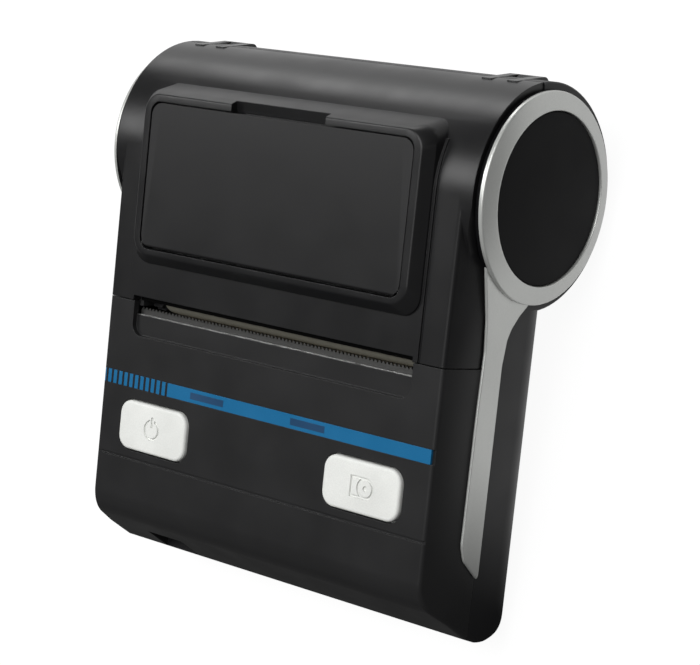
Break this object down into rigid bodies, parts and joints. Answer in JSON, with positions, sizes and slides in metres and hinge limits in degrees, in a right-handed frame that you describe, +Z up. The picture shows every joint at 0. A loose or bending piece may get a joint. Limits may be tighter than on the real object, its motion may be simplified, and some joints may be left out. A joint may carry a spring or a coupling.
{
  "type": "portable receipt printer",
  "caption": "Portable receipt printer with a round roll compartment, flip-up release handle on a hinged cover, serrated paper slot, status stripe, control keys and silver side trim.",
  "frame": {"origin": "centre of the overall box at the table plane, under the feet", "axes": "+X is the right side as the user faces the keys, +Y runs from the keys towards the roll compartment, +Z is up from the table"},
  "size_m": [0.122, 0.1346, 0.061],
  "materials": {
    "lower_case": "fine-textured black plastic",
    "housing": "satin black plastic",
    "cover": "satin black plastic",
    "stripe": "satin blue plastic",
    "marks": "printed light marks",
    "window": "clear indicator windows",
    "trim": "satin silver",
    "cap": "satin black",
    "steel": "bright steel",
    "ceramic": "glazed ceramic",
    "aluminium": "extruded",
    "frame": "moulded",
    "inner_plastic": "moulded",
    "sensor": "moulded",
    "motor": "zinc plated",
    "board": "solder mask",
    "switch": "moulded",
    "led": "clear",
    "chip": "moulded",
    "connector": "tin plated",
    "battery": "shrink film",
    "contact": "gold plated",
    "ribbon": "polyimide",
    "foot": "soft rubber",
    "bushing": "acetal",
    "platen": "ground silicone rubber",
    "gear": "acetal",
    "gear_black": "black acetal",
    "handle": "satin dark grey plastic",
    "key": "light grey plastic"
  },
  "bodies": {
    "case": {"lower_case": "lower_case", "control_housing": "housing", "status_stripe": "stripe", "level_bars": "marks", "indicator_windows": "window", "trim_left": "trim", "trim_right": "trim", "end_cap_left": "cap", "end_cap_right": "cap", "tear_bar": "steel", "print_head": "ceramic", "head_heat_sink": "aluminium", "head_springs": "steel", "mechanism_frame": "frame", "paper_chute": "inner_plastic", "paper_sensor": "sensor", "stepper_motor": "motor", "hinge_pins": "steel", "main_board": "board", "board_screws": "steel", "key_switches": "switch", "indicator_lights": "led", "control_chips": "chip", "data_port": "connector", "battery_pack": "battery", "battery_contacts": "contact", "head_ribbon": "ribbon", "feet": "foot"},
    "cover": {"cover_shell": "cover", "cover_bracket": "inner_plastic", "bracket_screws": "steel", "platen_bushings": "bushing"},
    "platen": {"platen_shaft": "steel", "platen_rubber": "platen", "platen_gear": "gear_black"},
    "idler": {"idler_gear": "gear"},
    "motor_drive": {"motor_pinion": "gear", "motor_shaft": "steel"},
    "handle": {"release_handle": "handle", "handle_pins": "steel"},
    "latch": {"latch_bar": "steel", "latch_hooks": "steel"},
    "power_key": {"power_button": "key"},
    "feed_key": {"feed_button": "key"},
    "battery_lid": {"battery_door": "lower_case"}
  },
  "joints": [
    {"name": "cover_hinge", "type": "hinge", "parent": "case", "child": "cover", "pos_m": [0, 0.06542, 0.02941], "axis": [-1, 0, 0], "range_deg": [0, 92]},
    {"name": "platen_spin", "type": "hinge", "parent": "cover", "child": "platen", "pos_m": [0, -0.00073, 0.0396], "axis": [1, 0, 0], "continuous": true},
    {"name": "idler_spin", "type": "hinge", "parent": "case", "child": "idler", "pos_m": [-0.0424, 0.00134, 0.0288], "axis": [1, 0, 0], "continuous": true},
    {"name": "motor_spin", "type": "hinge", "parent": "case", "child": "motor_drive", "pos_m": [-0.0424, 0.00036, 0.01985], "axis": [1, 0, 0], "continuous": true},
    {"name": "handle_hinge", "type": "hinge", "parent": "cover", "child": "handle", "pos_m": [0, 0.00984, 0.05273], "axis": [1, 0, 0], "range_deg": [0, 40]},
    {"name": "latch_turn", "type": "hinge", "parent": "cover", "child": "latch", "pos_m": [0, 0.00702, 0.04434], "axis": [1, 0, 0], "range_deg": [0, 16]},
    {"name": "power_press", "type": "slide", "parent": "case", "child": "power_key", "axis": [0, 0.1882, -0.9821], "range_m": [0, 0.0006], "stiffness_N_per_m": 800, "springref_m": -0.0004},
    {"name": "feed_press", "type": "slide", "parent": "case", "child": "feed_key", "axis": [0, 0.1882, -0.9821], "range_m": [0, 0.0006], "stiffness_N_per_m": 800, "springref_m": -0.0004},
    {"name": "battery_lid_hinge", "type": "hinge", "parent": "case", "child": "battery_lid", "pos_m": [0, -0.01278, 0.00817], "axis": [1, 0, 0], "range_deg": [0, 80]}
  ],
  "couplings": [
    {"joint": "idler_spin", "follows": "platen_spin", "ratio": -0.83333},
    {"joint": "motor_spin", "follows": "platen_spin", "ratio": 1.6667},
    {"joint": "latch_turn", "follows": "handle_hinge", "ratio": 0.4}
  ]
}
